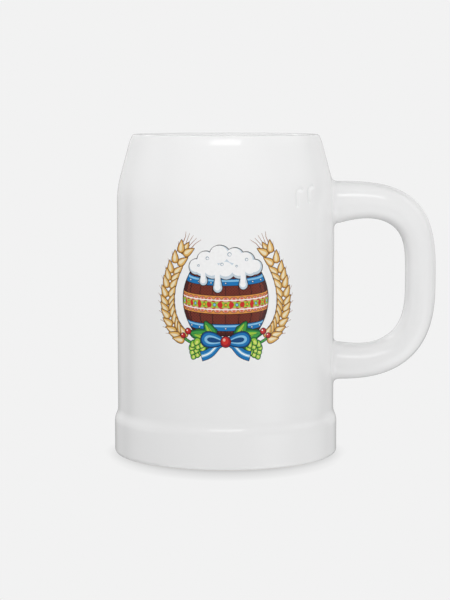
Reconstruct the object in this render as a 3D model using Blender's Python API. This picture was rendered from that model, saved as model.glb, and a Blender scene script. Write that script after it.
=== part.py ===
"""A straight-sided ceramic beer mug with a foot band, a drawn-in shoulder and a strap handle.

Metres, +Z up. The origin is on the mug's axis at the height of the table that it stands on.
The handle points to +X, so a drinker who holds it in the right hand sees the mug's front from -Y.
"""

import math

import bmesh
import bpy

# Body, outside
MUG_HEIGHT = 0.135
BODY_RADIUS = 0.0459
BASE_FLARE = 0.00172
BAND_HEIGHT = 0.0154
STEP_HEIGHT = 0.0039
RIM_INSET = 0.0067
SHOULDER_HEIGHT = 0.0206

# Body, inside
WALL = 0.0052
LIP_WIDTH = 0.0044
INNER_SHOULDER_HEIGHT = 0.0205
FLOOR_THICKNESS = 0.0068

# Underside
FOOT_WIDTH = 0.0062
FOOT_RECESS = 0.0008
RECESS_RAMP = 0.0012

# Roundings of the turned section
FOOT_ROUNDING = 0.0004
BASE_ROUNDING = 0.0018
BAND_ROUNDING = 0.0157
STEP_ROUNDING = 0.004
SHOULDER_ROUNDING = 0.064
LIP_OUTER_ROUNDING = 0.0012
LIP_INNER_ROUNDING = 0.0015
INNER_SHOULDER_ROUNDING = 0.060
FLOOR_ROUNDING = 0.007

# Handle: reach is measured from the wall, the drop from the rim, the rise from the table
HANDLE_REACH = 0.0436
HANDLE_DROP = 0.0198
HANDLE_RISE = 0.0311
HANDLE_WIDTH = 0.0195
UPPER_ARM = 0.0150
GRIP = 0.0127
LOWER_ARM = 0.0144
UPPER_FLARE = 0.0032
LOWER_FLARE = 0.0018
FLARE_LENGTH = 0.020
ROOT_DEPTH = 0.0030

# Squareness of the handle's curves: 2 is an ellipse, and more is squarer
OUTER_SQUARENESS_ABOVE = 3.1
OUTER_SQUARENESS_BELOW = 2.75
HOLE_SQUARENESS_ABOVE = 4.1
HOLE_SQUARENESS_BELOW = 3.25
SECTION_SQUARENESS = 2.3

# Fineness of the facets
BODY_SIDES = 64
HANDLE_SIDES = 20
HANDLE_RINGS = 36
PATH_SAMPLES = 400
CHORD_ERROR = 0.00005
SHARP_ANGLE = math.radians(40)

# Glaze
GLAZE_COLOUR = (0.88, 0.88, 0.88, 1.0)
GLAZE_ROUGHNESS = 0.12


def section_corners():
    """Corners of the turned section as (radius, height, rounding), out along the foot, up, and back inside."""
    base = BODY_RADIUS + BASE_FLARE
    bore = BODY_RADIUS - WALL
    rim = BODY_RADIUS - RIM_INSET
    ring = base - FOOT_WIDTH
    return [
        (0.0, FOOT_RECESS, 0.0),
        (ring - RECESS_RAMP, FOOT_RECESS, FOOT_ROUNDING),
        (ring, 0.0, FOOT_ROUNDING),
        (base, 0.0, BASE_ROUNDING),
        (base, BAND_HEIGHT, BAND_ROUNDING),
        (BODY_RADIUS, BAND_HEIGHT + STEP_HEIGHT, STEP_ROUNDING),
        (BODY_RADIUS, MUG_HEIGHT - SHOULDER_HEIGHT, SHOULDER_ROUNDING),
        (rim, MUG_HEIGHT, LIP_OUTER_ROUNDING),
        (rim - LIP_WIDTH, MUG_HEIGHT, LIP_INNER_ROUNDING),
        (bore, MUG_HEIGHT - INNER_SHOULDER_HEIGHT, INNER_SHOULDER_ROUNDING),
        (bore, FLOOR_THICKNESS, FLOOR_ROUNDING),
        (0.0, FLOOR_THICKNESS, 0.0),
    ]


def turn_at(before, corner, after):
    """How far the outline turns at a corner, in radians, positive to the left."""
    inward = math.atan2(corner[1] - before[1], corner[0] - before[0])
    outward = math.atan2(after[1] - corner[1], after[0] - corner[0])
    return math.remainder(outward - inward, math.tau)


def tangent_lengths(corners):
    """How much of each side a corner's arc takes, shortened where two arcs would meet on one side."""
    turns = [0.0] + [turn_at(*corners[i - 1 : i + 2]) for i in range(1, len(corners) - 1)] + [0.0]
    wanted = [corner[2] * math.tan(abs(turn) / 2) for corner, turn in zip(corners, turns)]
    lengths = list(wanted)
    for i, (low, high) in enumerate(zip(corners, corners[1:])):
        side = math.dist(low[:2], high[:2])
        fit = min(1.0, side / max(wanted[i] + wanted[i + 1], side))
        lengths[i] = min(lengths[i], wanted[i] * fit)
        lengths[i + 1] = min(lengths[i + 1], wanted[i + 1] * fit)
    return turns, lengths


def rounded(corners):
    """The outline's points, with an arc at each corner that has a rounding."""
    turns, lengths = tangent_lengths(corners)
    points = []
    for i, (radius, height, _) in enumerate(corners):
        if not lengths[i]:
            points.append((radius, height))
            continue
        before = corners[i - 1]
        side = math.dist(before[:2], (radius, height))
        along = ((radius - before[0]) / side, (height - before[1]) / side)
        start = (radius - along[0] * lengths[i], height - along[1] * lengths[i])
        turn = turns[i]
        arc = lengths[i] / math.tan(abs(turn) / 2)
        step = 2 * math.acos(1 - min(CHORD_ERROR / arc, 0.5))
        count = max(2, math.ceil(abs(turn) / step))
        left = math.copysign(arc, turn)
        centre = (start[0] - along[1] * left, start[1] + along[0] * left)
        for k in range(count + 1):
            angle = turn * k / count
            across = (start[0] - centre[0], start[1] - centre[1])
            points.append(
                (
                    centre[0] + across[0] * math.cos(angle) - across[1] * math.sin(angle),
                    centre[1] + across[0] * math.sin(angle) + across[1] * math.cos(angle),
                )
            )
    return points


def glaze():
    """White gloss glaze over ceramic."""
    material = bpy.data.materials.new("white_glaze")
    material.use_nodes = True
    shader = material.node_tree.nodes["Principled BSDF"]
    shader.inputs["Base Color"].default_value = GLAZE_COLOUR
    shader.inputs["Roughness"].default_value = GLAZE_ROUGHNESS
    shader.inputs["Metallic"].default_value = 0.0
    return material


def named_object(name, mesh, material):
    """An object made from a bmesh, shaded smooth but for its sharp edges."""
    bmesh.ops.recalc_face_normals(mesh, faces=mesh.faces)
    data = bpy.data.meshes.new(name)
    mesh.to_mesh(data)
    mesh.free()
    data.shade_smooth()
    data.set_sharp_from_angle(angle=SHARP_ANGLE)
    data.materials.append(material)
    made = bpy.data.objects.new(name, data)
    bpy.context.scene.collection.objects.link(made)
    return made


def body_mesh():
    """The vessel: its closed section spun round the axis."""
    mesh = bmesh.new()
    verts = [mesh.verts.new((radius, 0.0, height)) for radius, height in rounded(section_corners())]
    edges = [mesh.edges.new(ends) for ends in zip(verts, verts[1:])]
    bmesh.ops.spin(
        mesh,
        geom=verts + edges,
        cent=(0.0, 0.0, 0.0),
        axis=(0.0, 0.0, 1.0),
        angle=math.tau,
        steps=BODY_SIDES,
        use_merge=True,
    )
    bmesh.ops.remove_doubles(mesh, verts=mesh.verts, dist=0.000001)
    return mesh


def power(value, exponent):
    """A power that keeps the sign."""
    return math.copysign(abs(value) ** exponent, value)


def handle_edge(angle, reach, top, bottom, above, below, flare_above, flare_below):
    """A point (distance from the wall, height) of one edge of the handle, from its upper root at
    90 degrees, round the grip at 0, to its lower root at -90."""
    middle = (MUG_HEIGHT - HANDLE_DROP + HANDLE_RISE) / 2
    up = angle >= 0
    squareness = above if up else below
    span = top - middle if up else middle - bottom
    out = reach * max(math.cos(angle), 0.0) ** (2 / squareness)
    root = max(0.0, 1 - out / FLARE_LENGTH) ** 2
    flare = -flare_above * root if up else flare_below * root
    return out, middle + span * power(math.sin(angle), 2 / squareness) + flare


def handle_stations():
    """Pairs of points on the handle's outer edge and on its finger hole, evenly spaced along it."""
    top = MUG_HEIGHT - HANDLE_DROP
    pairs = []
    for i in range(PATH_SAMPLES + 1):
        angle = math.pi * (0.5 - i / PATH_SAMPLES)
        outer = handle_edge(
            angle, HANDLE_REACH, top, HANDLE_RISE, OUTER_SQUARENESS_ABOVE, OUTER_SQUARENESS_BELOW, 0, 0
        )
        hole = handle_edge(
            angle,
            HANDLE_REACH - GRIP,
            top - UPPER_ARM,
            HANDLE_RISE + LOWER_ARM,
            HOLE_SQUARENESS_ABOVE,
            HOLE_SQUARENESS_BELOW,
            UPPER_FLARE,
            LOWER_FLARE,
        )
        pairs.append((outer, hole))
    middles = [((a[0] + b[0]) / 2, (a[1] + b[1]) / 2) for a, b in pairs]
    run = [0.0]
    for low, high in zip(middles, middles[1:]):
        run.append(run[-1] + math.dist(low, high))
    stations = []
    at = 0
    for ring in range(HANDLE_RINGS + 1):
        target = run[-1] * ring / HANDLE_RINGS
        while at < PATH_SAMPLES - 1 and run[at + 1] < target:
            at += 1
        share = (target - run[at]) / (run[at + 1] - run[at])
        stations.append(
            [
                tuple(low + (high - low) * share for low, high in zip(pairs[at][k], pairs[at + 1][k]))
                for k in (0, 1)
            ]
        )
    first = [(-ROOT_DEPTH, height) for _, height in stations[0]]
    last = [(-ROOT_DEPTH, height) for _, height in stations[-1]]
    return [first] + stations + [last]


def handle_mesh():
    """The strap: a rounded section carried from the upper root round to the lower one."""
    mesh = bmesh.new()
    rings = []
    for outer, hole in handle_stations():
        middle = [(a + b) / 2 for a, b in zip(outer, hole)]
        half = [(a - b) / 2 for a, b in zip(outer, hole)]
        ring = []
        for k in range(HANDLE_SIDES):
            turn = math.tau * k / HANDLE_SIDES
            across = power(math.cos(turn), 2 / SECTION_SQUARENESS) * HANDLE_WIDTH / 2
            along = power(math.sin(turn), 2 / SECTION_SQUARENESS)
            ring.append(
                mesh.verts.new(
                    (BODY_RADIUS + middle[0] + half[0] * along, across, middle[1] + half[1] * along)
                )
            )
        rings.append(ring)
    for low, high in zip(rings, rings[1:]):
        for k in range(HANDLE_SIDES):
            after = (k + 1) % HANDLE_SIDES
            mesh.faces.new((low[k], low[after], high[after], high[k]))
    mesh.faces.new(rings[0])
    mesh.faces.new(rings[-1])
    return mesh


def mug():
    """The vessel with its handle fused on, as the one casting that it is."""
    white = glaze()
    vessel = named_object("mug", body_mesh(), white)
    strap = named_object("handle_strap", handle_mesh(), white)
    strap.hide_render = True
    strap.display_type = "WIRE"
    fused = vessel.modifiers.new("handle", "BOOLEAN")
    fused.operation = "UNION"
    fused.solver = "EXACT"
    fused.object = strap


for leftover in list(bpy.data.objects):
    bpy.data.objects.remove(leftover)
mug()
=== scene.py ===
"""Looks of a half-litre ceramic beer mug, laid out as a Blender add-on and run as a script.

The mug is one closed surface: the turned body, the handle with its softened joints, the moulded
fill mark, and the print, whose ink areas are faces of the glaze itself with materials of their own.
"""

import math

import bpy
import numpy as np
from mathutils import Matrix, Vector, kdtree
from mathutils.geometry import delaunay_2d_cdt


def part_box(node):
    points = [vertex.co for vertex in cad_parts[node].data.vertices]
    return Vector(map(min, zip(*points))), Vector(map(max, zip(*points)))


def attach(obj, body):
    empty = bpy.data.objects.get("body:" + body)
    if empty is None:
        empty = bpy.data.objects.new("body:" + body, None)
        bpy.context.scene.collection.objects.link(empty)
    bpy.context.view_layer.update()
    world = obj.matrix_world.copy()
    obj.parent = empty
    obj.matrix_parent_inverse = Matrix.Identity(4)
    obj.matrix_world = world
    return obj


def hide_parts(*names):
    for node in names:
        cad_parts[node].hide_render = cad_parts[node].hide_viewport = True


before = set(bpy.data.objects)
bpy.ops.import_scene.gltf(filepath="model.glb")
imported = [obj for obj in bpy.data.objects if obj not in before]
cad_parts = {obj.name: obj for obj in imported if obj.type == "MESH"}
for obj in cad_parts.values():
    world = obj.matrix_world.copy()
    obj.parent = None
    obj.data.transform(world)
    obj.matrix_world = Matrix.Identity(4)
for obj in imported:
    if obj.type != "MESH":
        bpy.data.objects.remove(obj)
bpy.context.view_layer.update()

LOW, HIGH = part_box("mug")

bl_info = {
    "name": "Beer Mug",
    "version": (1, 0, 0),
    "blender": (4, 5, 0),
    "location": "View3D > Sidebar > Mug",
    "description": "A glazed half-litre beer mug with a fired-on print, in a white studio",
    "category": "Add Mesh",
}

MM = 0.001

# Fineness of the surface
COLUMNS = 144
ROW_GAP = 3.0 * MM
ARC_ERROR = 0.004 * MM
HANDLE_SIDES = 56
HANDLE_RINGS = 100
PATH_SAMPLES = 1200
FILLET_STEPS = 5
# How often a point of the handle's root is moved along the handle to find the curved wall
ROOT_PASSES = 4
# The strap's first ring is this many softenings away from the wall
STRAP_START = 2.0
# The rows of the outer wall are those that rise at least this steeply, as a sine
UPRIGHT = 0.9
# A row nearer to the axis than this is one point
AXIS_RADIUS = 0.001 * MM

# In a window of the wall, in millimetres: how close the grid's points come to an outline, how close
# they come where the relief is fine, and how near two points are to be one
CLEARANCE = 0.7
FINE_CLEARANCE = 0.15
SNAP = 0.005
# How far to each side a normal of the relief is measured, in millimetres
NORMAL_STEP = 0.02

# Azimuths are counted from +X, where the handle is, towards +Y. The seam of the maps is at the back.
SEAM = math.radians(90)
FRONT = math.radians(270)
HANDLE_SIDE = math.radians(360)

# The windows of the wall that are filled with finer triangles: the print's half angle and half height,
# the fill mark's angles from the front and its heights, and a handle root's half angle, with how far
# its window reaches past the outside of the handle and towards the finger hole
PRINT_HALF_ANGLE = math.radians(39)
PRINT_HALF_HEIGHT = 28.5 * MM
MARK_ANGLES = (math.radians(37), math.radians(57))
MARK_HEIGHTS = (103 * MM, 118 * MM)
ROOT_HALF_ANGLE = math.radians(18)
ROOT_OUTSIDE = 4 * MM
UPPER_ROOT_INSIDE = 22 * MM
LOWER_ROOT_INSIDE = 20 * MM

# The foot ring's glaze is wiped off below this height
BARE_BELOW = 0.3 * MM

# Where each part of the surface lies on the texture map, as (left, bottom, right, top)
PRINT_MAP = (0.005, 0.455, 0.595, 0.995)
TURNED_MAP = (0.005, 0.005, 0.995, 0.445)
HANDLE_MAP = (0.605, 0.455, 0.995, 0.995)

# Millimetres of the wall laid flat to one unit of the pattern map
PRINT_UNIT = 100.0

# How much further in than the frame's box the foot band and the grip stand
FOOT_INSET = 0.34 * MM
GRIP_INSET = 0.5 * MM

# Roundings of the turned section, from the underside up to the rim and down inside
FOOT_ROUNDING = 0.4 * MM
BASE_ROUNDING = 1.8 * MM
STEP_ROUNDING = 7.2 * MM
SHOULDER_ROUNDING = 45.0 * MM
NECK_ROUNDING = 22.0 * MM
OUTER_LIP_ROUNDING = 1.2 * MM
INNER_LIP_ROUNDING = 1.5 * MM
INNER_SHOULDER_ROUNDING = 60.0 * MM
FLOOR_ROUNDING = 7.0 * MM

# How square the handle's outer edge and its finger hole are, above and below the grip's middle: 2 is
# an ellipse. The strap's section has a squareness too, and as it is pulled by hand its rounding has
# slight flats, this share of its half sizes deep.
OUTER_SQUARENESS = (3.1, 2.65)
HOLE_SQUARENESS = (3.9, 3.15)
SECTION_SQUARENESS = 2.2
SECTION_FLATS = 0.008
FLATS_AROUND = 8


def length(name, description, default):
    """A size of the mug, in metres."""
    return bpy.props.FloatProperty(
        name=name, description=description, default=default, unit="LENGTH", precision=5
    )


def linear(text):
    """An sRGB hex colour as linear RGBA."""
    values = [int(text[i : i + 2], 16) / 255 for i in (1, 3, 5)]
    return [v / 12.92 if v <= 0.04045 else ((v + 0.055) / 1.055) ** 2.4 for v in values] + [1.0]


def colour(name, description, default):
    """A colour, given as an sRGB hex value."""
    return bpy.props.FloatVectorProperty(
        name=name,
        description=description,
        default=linear(default),
        size=4,
        subtype="COLOR",
        min=0.0,
        max=1.0,
    )


class MugSizes(bpy.types.PropertyGroup):
    """Sizes of the mug. The overall ones are read from the frame."""

    height: length("Height", "From the table to the rim", HIGH.z - LOW.z)
    foot_radius: length("Foot radius", "Outside of the band round the foot", -LOW.x - FOOT_INSET)
    grip_reach: length("Reach", "From the axis to the outside of the grip", HIGH.x - GRIP_INSET)
    base_flare: length("Foot flare", "How far the foot band stands out of the wall", 1.38 * MM)
    band_height: length("Band height", "From the table to where the foot band turns in", 15.0 * MM)
    step_height: length("Step height", "Height of the slope above the foot band", 3.1 * MM)
    rim_inset: length("Rim inset", "How much narrower the rim is than the wall", 6.7 * MM)
    shoulder_height: length("Shoulder height", "From the rim down to the shoulder", 22.7 * MM)
    neck_height: length("Neck height", "From the rim down to where the shoulder leans in more", 2.6 * MM)
    neck_lean: length("Neck lean", "How far the wall leans in over the neck's height", 1.24 * MM)
    wall: length("Wall", "Thickness of the wall", 5.2 * MM)
    lip_width: length("Lip width", "Thickness of the rim", 4.4 * MM)
    inner_shoulder_height: length("Inner shoulder", "From the rim down to the shoulder inside", 20.5 * MM)
    floor_thickness: length("Floor", "Thickness of the floor over the table", 6.8 * MM)
    foot_width: length("Foot ring width", "Width of the ring that stands on the table", 6.2 * MM)
    foot_recess: length("Foot recess", "Depth of the recess inside the foot ring", 0.8 * MM)
    recess_ramp: length("Recess ramp", "Width of the slope inside the foot ring", 1.2 * MM)
    handle_drop: length("Handle drop", "From the rim down to the top of the handle", 19.8 * MM)
    handle_rise: length("Handle rise", "From the table up to the bottom of the handle", 31.1 * MM)
    handle_width: length("Handle width", "Width of the strap", 19.5 * MM)
    upper_arm: length("Upper arm", "Thickness of the handle's upper arm", 15.0 * MM)
    grip: length("Grip", "Thickness of the upright grip", 12.7 * MM)
    lower_arm: length("Lower arm", "Thickness of the handle's lower arm", 14.4 * MM)
    upper_flare: length("Upper flare", "How much the upper arm thickens at the wall", 3.2 * MM)
    lower_flare: length("Lower flare", "How much the lower arm thickens at the wall", 1.8 * MM)
    flare_length: length("Flare length", "How far from the wall the arms start to thicken", 20.0 * MM)
    root_fillet: length("Root fillet", "Softening where the handle meets the wall", 2.3 * MM)
    mark_depth: length("Mark depth", "Depth of the moulded fill mark", 0.5 * MM)
    print_height: length("Print height", "From the table to the middle of the print", 70.8 * MM)


class MugColours(bpy.types.PropertyGroup):
    """Colours of the glaze, the bare clay and the inks."""

    glaze: colour("Glaze", "White gloss glaze", "#F6F6F6")
    clay: colour("Bare clay", "Wiped foot ring", "#E9E4DA")
    black: colour("Black", "Outlines", "#1B1517")
    maroon: colour("Maroon", "Staves of the barrel", "#80382A")
    plum: colour("Plum", "Staves in shade", "#4A1D1B")
    umber: colour("Umber", "Awns and edges of the lace", "#9A5B24")
    amber: colour("Amber", "Shade on the grains", "#C98B3A")
    ochre: colour("Ochre", "Body of the grains", "#E9BE6E")
    cream: colour("Cream", "Light on the grains", "#F7E8C6")
    gold: colour("Gold", "Flower eyes", "#F0B62E")
    apricot: colour("Apricot", "Ground of the belt", "#E79A4E")
    pink: colour("Pink", "Lace", "#F0B3A0")
    rose: colour("Rose", "Eyes of the lace", "#D9634F")
    red: colour("Red", "Belt and berries", "#D2322D")
    crimson: colour("Crimson", "Berries in shade", "#A3202A")
    navy: colour("Navy", "Ribbon in shade", "#134C84")
    blue: colour("Blue", "Hoops and ribbon", "#1B79BC")
    sky: colour("Sky", "Light on hoops and ribbon", "#8CC9EC")
    forest: colour("Forest", "Leaves in shade", "#1F6B37")
    green: colour("Green", "Leaves and hops", "#43A047")
    lime: colour("Lime", "Light on leaves", "#A5CF45")
    lemon: colour("Lemon", "Light on hops", "#DDE77A")
    mist: colour("Mist", "Foam in shade", "#CFDCE6")
    steel: colour("Steel", "Bubbles in the foam", "#7F98AC")
    white: colour("White", "Foam", "#FFFFFF")


INKS = [name for name in MugColours.__annotations__ if name not in ("glaze", "clay")]


class StudioSettings(bpy.types.PropertyGroup):
    """Camera and backdrop."""

    lens: bpy.props.FloatProperty(
        name="Lens", description="Focal length on a 36 mm high frame, in mm", default=114.0
    )
    distance: length("Camera distance", "From the mug's axis", 803.6 * MM)
    camera_height: length("Camera height", "Above the table", 147.9 * MM)
    camera_side: length("Camera side", "How far it stands to the left of the mug's axis", 0.28 * MM)
    camera_tilt: bpy.props.FloatProperty(
        name="Camera tilt",
        description="How far the camera looks down",
        default=math.radians(5.91),
        subtype="ANGLE",
    )
    backdrop: colour("Backdrop", "What the camera sees behind the mug and under it", "#F2F2F2")


def power(value, exponent):
    """A power that keeps the sign."""
    return math.copysign(abs(value) ** exponent, value)


# The turned section


def section_corners(sizes):
    """Corners of the turned section as (radius, height, rounding): out along the underside, up the
    outside and down the inside."""
    base = sizes.foot_radius
    wall = base - sizes.base_flare
    bore = wall - sizes.wall
    rim = wall - sizes.rim_inset
    ring = base - sizes.foot_width
    top = sizes.height
    return [
        (0.0, sizes.foot_recess, 0.0),
        (ring - sizes.recess_ramp, sizes.foot_recess, FOOT_ROUNDING),
        (ring, 0.0, FOOT_ROUNDING),
        (base, 0.0, BASE_ROUNDING),
        (base, sizes.band_height, STEP_ROUNDING),
        (wall, sizes.band_height + sizes.step_height, STEP_ROUNDING),
        (wall, top - sizes.shoulder_height, SHOULDER_ROUNDING),
        (rim + sizes.neck_lean, top - sizes.neck_height, NECK_ROUNDING),
        (rim, top, OUTER_LIP_ROUNDING),
        (rim - sizes.lip_width, top, INNER_LIP_ROUNDING),
        (bore, top - sizes.inner_shoulder_height, INNER_SHOULDER_ROUNDING),
        (bore, sizes.floor_thickness, FLOOR_ROUNDING),
        (0.0, sizes.floor_thickness, 0.0),
    ]


def bearing(start, end):
    """The way from one point to another, in radians."""
    return math.atan2(end[1] - start[1], end[0] - start[0])


def corner_turns(corners):
    """How far the outline turns at each corner, and how much of each side its arc takes."""
    turns = [0.0]
    for before, corner, after in zip(corners, corners[1:], corners[2:]):
        turns.append(math.remainder(bearing(corner, after) - bearing(before, corner), math.tau))
    turns.append(0.0)
    wanted = [corner[2] * math.tan(abs(turn) / 2) for corner, turn in zip(corners, turns)]
    lengths = list(wanted)
    for i, (low, high) in enumerate(zip(corners, corners[1:])):
        side = math.dist(low[:2], high[:2])
        fit = min(1.0, side / max(wanted[i] + wanted[i + 1], side))
        lengths[i] = min(lengths[i], wanted[i] * fit)
        lengths[i + 1] = min(lengths[i + 1], wanted[i + 1] * fit)
    return turns, lengths


def arc_points(corner, inward, turn, reach):
    """Points (radius, height, heading) of the arc that rounds a corner."""
    arc = reach / math.tan(abs(turn) / 2)
    step = 2 * math.acos(1 - min(ARC_ERROR / arc, 0.5))
    count = max(3, math.ceil(abs(turn) / step))
    side = math.copysign(arc, turn)
    start = (corner[0] - math.cos(inward) * reach, corner[1] - math.sin(inward) * reach)
    centre = (start[0] - math.sin(inward) * side, start[1] + math.cos(inward) * side)
    points = []
    for k in range(count + 1):
        heading = inward + turn * k / count
        points.append((centre[0] + math.sin(heading) * side, centre[1] - math.cos(heading) * side, heading))
    return points


def turned_rows(sizes):
    """Rows of the turned surface as (radius, height, heading), with the arcs and the long sides divided."""
    corners = section_corners(sizes)
    turns, lengths = corner_turns(corners)
    outline = [(*corners[0][:2], bearing(corners[0], corners[1]))]
    for i in range(1, len(corners) - 1):
        outline += arc_points(corners[i], bearing(corners[i - 1], corners[i]), turns[i], lengths[i])
    outline.append((*corners[-1][:2], bearing(corners[-2], corners[-1])))
    rows = [outline[0]]
    for low, high in zip(outline, outline[1:]):
        parts = max(1, math.ceil(math.dist(low[:2], high[:2]) / ROW_GAP))
        for k in range(1, parts):
            share = k / parts
            radius = low[0] + (high[0] - low[0]) * share
            height = low[1] + (high[1] - low[1]) * share
            rows.append((radius, height, bearing(low, high)))
        rows.append(high)
    return rows


# The surface that every part adds to


class Surface:
    """Vertices with their own normals, and faces with a material and places on the maps."""

    def __init__(self):
        self.points = []
        self.normals = []
        self.faces = []
        self.materials = []
        self.places = []
        self.inked_at = []

    def vertex(self, point, normal):
        self.points.append(tuple(point))
        self.normals.append(tuple(normal))
        return len(self.points) - 1

    def face(self, corners, material, places, inked_at=None):
        self.faces.append(corners)
        self.materials.append(material)
        self.places.extend(places)
        self.inked_at.extend(inked_at or [(0.0, 0.0)] * len(corners))


def on_map(area, across, up):
    """A place in an area of the texture map, from shares of its width and height."""
    left, bottom, right, top = area
    return (left + (right - left) * across, bottom + (top - bottom) * up)


def spun(radius, height, heading, azimuth):
    """A point of the turned surface and its normal, from a row of the section."""
    c, s = math.cos(azimuth), math.sin(azimuth)
    lean = math.sin(heading)
    return (radius * c, radius * s, height), (lean * c, lean * s, -math.cos(heading))


class TurnedBody:
    """The turned part of the mug as rows and columns, with windows left open for finer work.

    The outer wall is also laid flat: x is the arc from the front in mm, and y the height in mm.
    """

    def __init__(self, sizes):
        self.rows = turned_rows(sizes)
        self.wall_radius = sizes.foot_radius - sizes.base_flare
        self.mm_per_radian = self.wall_radius / MM
        run = [0.0]
        for low, high in zip(self.rows, self.rows[1:]):
            run.append(run[-1] + math.dist(low[:2], high[:2]))
        self.run = [r / run[-1] for r in run]
        self.outer_rows = [i for i, row in enumerate(self.rows) if math.sin(row[2]) > UPRIGHT]
        self.radii, self.heights, self.headings = zip(*(self.rows[i] for i in self.outer_rows))
        self.outer_run = [self.run[i] for i in self.outer_rows]
        self.vertices = {}

    def radius_at(self, height):
        return float(np.interp(height, self.heights, self.radii))

    def place(self, azimuth, height):
        """The point and the normal of the outer wall."""
        heading = float(np.interp(height, self.heights, self.headings))
        return spun(self.radius_at(height), height, heading, azimuth)

    def map_place(self, azimuth, height):
        up = float(np.interp(height, self.heights, self.outer_run))
        return on_map(TURNED_MAP, (azimuth - SEAM) / math.tau, up)

    def azimuth(self, column):
        return SEAM + math.tau * column / COLUMNS

    def flat(self, azimuth, height):
        """A spot of the wall laid flat."""
        return (azimuth - FRONT) * self.mm_per_radian, height / MM

    def crossing(self, row, column):
        """A crossing of the grid on the wall laid flat."""
        return self.flat(self.azimuth(column), self.rows[row][1])

    def upright(self, x, y):
        """The azimuth and the height of a spot of the flat wall."""
        return FRONT + x / self.mm_per_radian, y * MM

    def window(self, low_azimuth, high_azimuth, low_height, high_height):
        """The rows and columns whose rectangle covers a stretch of the outer wall."""
        column = math.tau / COLUMNS
        rows = self.outer_rows
        first = max(i for i, z in zip(rows, self.heights) if z <= low_height)
        last = min(i for i, z in zip(rows, self.heights) if z >= high_height)
        left = math.floor((low_azimuth - SEAM) / column)
        right = math.ceil((high_azimuth - SEAM) / column)
        return first, last, left, right

    def add(self, surface, windows):
        """Adds the grid to the surface, without what the windows cover."""
        for i, (radius, height, heading) in enumerate(self.rows):
            for j in range(COLUMNS):
                if radius < AXIS_RADIUS and j:
                    self.vertices[i, j] = self.vertices[i, 0]
                elif not any(a < i < b and c < j < d for a, b, c, d in windows):
                    spot = spun(radius, height, heading, self.azimuth(j))
                    self.vertices[i, j] = surface.vertex(*spot)
        for i in range(len(self.rows) - 1):
            bare = max(self.rows[i][1], self.rows[i + 1][1]) < BARE_BELOW
            for j in range(COLUMNS):
                if not any(a <= i < b and c <= j < d for a, b, c, d in windows):
                    self.add_face(surface, i, j, "clay" if bare else "glaze")

    def add_face(self, surface, i, j, material):
        corners, places = [], []
        for row, column in ((i, j), (i, j + 1), (i + 1, j + 1), (i + 1, j)):
            vertex = self.vertices[row, column % COLUMNS]
            if vertex not in corners:
                corners.append(vertex)
                places.append(on_map(TURNED_MAP, column / COLUMNS, self.run[row]))
        surface.face(corners, material, places)


def inside(spots, outline):
    """Which of the spots lie inside an outline, by how often it winds round them."""
    x, y = spots.T
    winding = np.zeros(len(spots), int)
    for (ax, ay), (bx, by) in zip(outline, outline[1:] + outline[:1]):
        left = (bx - ax) * (y - ay) - (x - ax) * (by - ay)
        winding += (ay <= y) & (by > y) & (left > 0)
        winding -= (ay > y) & (by <= y) & (left < 0)
    return winding != 0


def topmost(spots, outlines):
    """The last of the outlines that holds each spot, or -1."""
    covers = np.full(len(spots), -1)
    for k, outline in enumerate(outlines):
        low, high = np.min(outline, axis=0), np.max(outline, axis=0)
        near = np.flatnonzero(((spots > low) & (spots < high)).all(axis=1))
        covers[near[inside(spots[near], outline)]] = k
    return covers


def fill_window(surface, body, window, shapes=(), hole=(), fine=(), relief=None, area=None):
    """Fills a window of the outer wall with triangles, worked out on the wall laid flat.

    shapes are (ink, outline) pairs, of which a later one covers an earlier one. hole is a loop of
    (vertex, azimuth, height) that stays open. fine are more points, and relief(x, y) is how far the
    surface stands out, in metres, or how far it is pressed in if that is below 0. area is the print's
    own area of the texture map.
    """
    first, last, left, right = window
    rim = [(first, j) for j in range(left, right)] + [(i, right) for i in range(first, last)]
    rim += [(last, j) for j in range(right, left, -1)] + [(i, left) for i in range(last, first, -1)]
    known = [body.vertices[i, j % COLUMNS] for i, j in rim] + [vertex for vertex, _, _ in hole]
    opening = [body.flat(azimuth, height) for _, azimuth, height in hole]
    outlines = [outline for _, outline in shapes]
    points, edges = [], []
    for loop in [[body.crossing(i, j) for i, j in rim], opening, *outlines]:
        edges += [(len(points) + k, len(points) + (k + 1) % len(loop)) for k in range(len(loop))]
        points += loop
    tree = kdtree.KDTree(len(points))
    for k, (x, y) in enumerate(points):
        tree.insert((x, y, 0.0), k)
    tree.balance()
    spare = [body.crossing(i, j) for i in range(first + 1, last) for j in range(left + 1, right)]
    clearance = FINE_CLEARANCE if fine else CLEARANCE
    points += [(x, y) for x, y in [*spare, *fine] if tree.find((x, y, 0.0))[2] > clearance]
    found = delaunay_2d_cdt([Vector(point) for point in points], edges, [], 0, SNAP, True)
    spots, _, triangles, from_points, _, _ = found
    middles = np.array(spots)[np.array(triangles)].mean(axis=1)
    covers = topmost(middles, outlines)
    vertices = {}
    for triangle, cover, is_open in zip(triangles, covers, inside(middles, opening)):
        if is_open:
            continue
        for k in triangle:
            if k not in vertices:
                kept = [known[n] for n in from_points[k] if n < len(known)]
                vertices[k] = kept[0] if kept else wall_vertex(surface, body, spots[k], relief)
        places = [window_place(area, body, window, *spots[k]) for k in triangle]
        inked_at = [(spots[k][0] / PRINT_UNIT, spots[k][1] / PRINT_UNIT) for k in triangle]
        ink = shapes[cover][0] if cover >= 0 else "glaze"
        surface.face([vertices[k] for k in triangle], ink, places, inked_at)


def window_place(area, body, window, x, y):
    """The place on the texture map of a spot in a window: on the window's own area, or on the wall's."""
    if not area:
        return body.map_place(*body.upright(x, y))
    first, last, left, right = window
    low_x, low_y = body.crossing(first, left)
    high_x, high_y = body.crossing(last, right)
    return on_map(area, (x - low_x) / (high_x - low_x), (y - low_y) / (high_y - low_y))


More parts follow.
